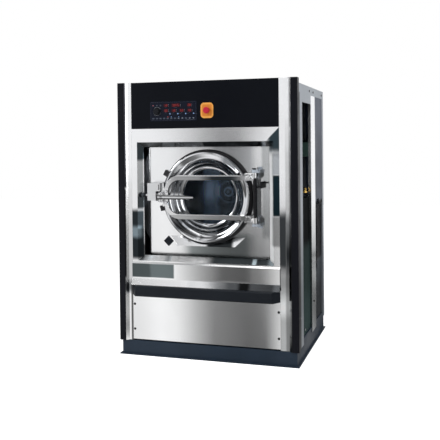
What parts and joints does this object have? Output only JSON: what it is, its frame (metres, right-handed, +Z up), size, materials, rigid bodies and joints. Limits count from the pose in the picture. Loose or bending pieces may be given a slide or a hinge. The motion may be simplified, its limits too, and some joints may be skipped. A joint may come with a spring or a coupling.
{
  "type": "industrial washing machine",
  "caption": "Front-loading hard-mounted laundry washer: steel cabinet on a floor plinth, yoke-hung round door with lever latch, perforated drum on a belt drive, and a recessed stainless front.",
  "frame": {"origin": "on the floor, at the middle of the four anchor holes of the plinth", "axes": "+X to the viewer's right when facing the door, +Y from the front to the rear, +Z up; the door faces -Y"},
  "size_m": [0.988, 0.923, 1.47],
  "materials": {
    "base_paint": "satin",
    "zinc_sheet": "satin",
    "bright_post": "satin",
    "recess_paint": "satin",
    "grey_sheet": "satin",
    "fastener_steel": "polished",
    "pillar_paint": "satin",
    "stainless_sheet": "brushed",
    "fascia_gloss": "gloss",
    "panel_film": "gloss",
    "key_film": "satin",
    "display_lens": "gloss",
    "knob_plastic": "satin",
    "stop_yellow": "gloss",
    "stop_red": "gloss",
    "bumper_black": "satin",
    "tub_steel": "satin",
    "gasket_rubber": "matte",
    "bracket_green": "satin",
    "drum_steel": "satin",
    "shaft_steel": "machined",
    "cast_grey": "satin",
    "belt_rubber": "matte",
    "motor_paint": "satin",
    "door_chrome": "polished",
    "door_glass": "clear",
    "yoke_steel": "brushed",
    "hinge_black": "satin",
    "hinge_grey": "satin",
    "lock_metal": "satin",
    "pipe_plastic": "satin",
    "valve_brass": "satin",
    "box_paint": "satin"
  },
  "bodies": {
    "cabinet": {"plinth": "base_paint", "front_posts": "zinc_sheet", "rear_posts": "zinc_sheet", "right_centre_post": "bright_post", "right_top_rail": "zinc_sheet", "right_front_panel": "recess_paint", "right_rear_panels": "grey_sheet", "equipment_shelf": "recess_paint", "left_side_panel": "zinc_sheet", "roof_panel": "zinc_sheet", "rear_panel": "zinc_sheet", "panel_screws": "fastener_steel", "left_pillar": "pillar_paint", "right_pillar": "pillar_paint", "left_trim_strip": "stainless_sheet", "right_trim_strip": "stainless_sheet", "fascia": "fascia_gloss", "control_panel": "panel_film", "control_keys": "key_film", "display_windows": "display_lens", "stop_plate": "stop_yellow", "surround_frame": "stainless_sheet", "front_plate": "stainless_sheet", "apron": "stainless_sheet", "bumper_bar": "bumper_black", "service_panel": "stainless_sheet", "drip_lip": "stainless_sheet", "marker_plate": "bumper_black", "outer_tub": "tub_steel", "door_gasket": "gasket_rubber", "tub_brackets": "bracket_green", "bearing_housing": "cast_grey", "shaft_bearings": "shaft_steel", "drive_belts": "belt_rubber", "drive_motor": "motor_paint", "motor_bracket": "motor_paint", "hinge_pin": "hinge_black", "hinge_post": "hinge_grey", "lock_box": "lock_metal", "door_switch_arm": "hinge_black", "vent_pipe": "pipe_plastic", "drain_valve": "pipe_plastic", "water_valves": "valve_brass", "fill_pipes": "pipe_plastic", "control_box": "box_paint"},
    "door": {"door_ring": "door_chrome", "door_glass": "door_glass", "door_yoke": "yoke_steel", "hinge_knuckles": "yoke_steel", "latch_bolts": "fastener_steel"},
    "lever": {"latch_lever": "yoke_steel"},
    "drum_group": {"drum": "drum_steel", "drum_front": "drum_steel", "drum_lifters": "drum_steel", "drum_spider": "tub_steel", "drum_shaft": "shaft_steel", "drum_pulley": "cast_grey"},
    "rotor": {"motor_pulley": "cast_grey"},
    "knob": {"control_knob": "knob_plastic"},
    "button": {"stop_button": "stop_red"}
  },
  "joints": [
    {"name": "door_swing", "type": "hinge", "parent": "cabinet", "child": "door", "pos_m": [0.258, -0.384, 0.855], "axis": [0, 0, 1], "range_deg": [0, 115]},
    {"name": "lever_turn", "type": "hinge", "parent": "door", "child": "lever", "pos_m": [-0.2505, -0.4105, 0.855], "axis": [0, 0, 1], "range_deg": [-100, 0]},
    {"name": "drum_spin", "type": "hinge", "parent": "cabinet", "child": "drum_group", "pos_m": [-0.012, 0, 0.855], "axis": [0, 1, 0], "continuous": true},
    {"name": "motor_spin", "type": "hinge", "parent": "cabinet", "child": "rotor", "pos_m": [0.17, 0.3, 0.232], "axis": [0, 1, 0], "continuous": true},
    {"name": "knob_turn", "type": "hinge", "parent": "cabinet", "child": "knob", "pos_m": [-0.268, -0.41, 1.313], "axis": [0, 1, 0], "range_deg": [0, 300]},
    {"name": "stop_press", "type": "slide", "parent": "cabinet", "child": "button", "axis": [0, 1, 0], "range_m": [0, 0.006], "stiffness_N_per_m": 600, "springref_m": -0.003}
  ],
  "couplings": [
    {"joint": "motor_spin", "follows": "drum_spin", "ratio": 4.7662}
  ]
}
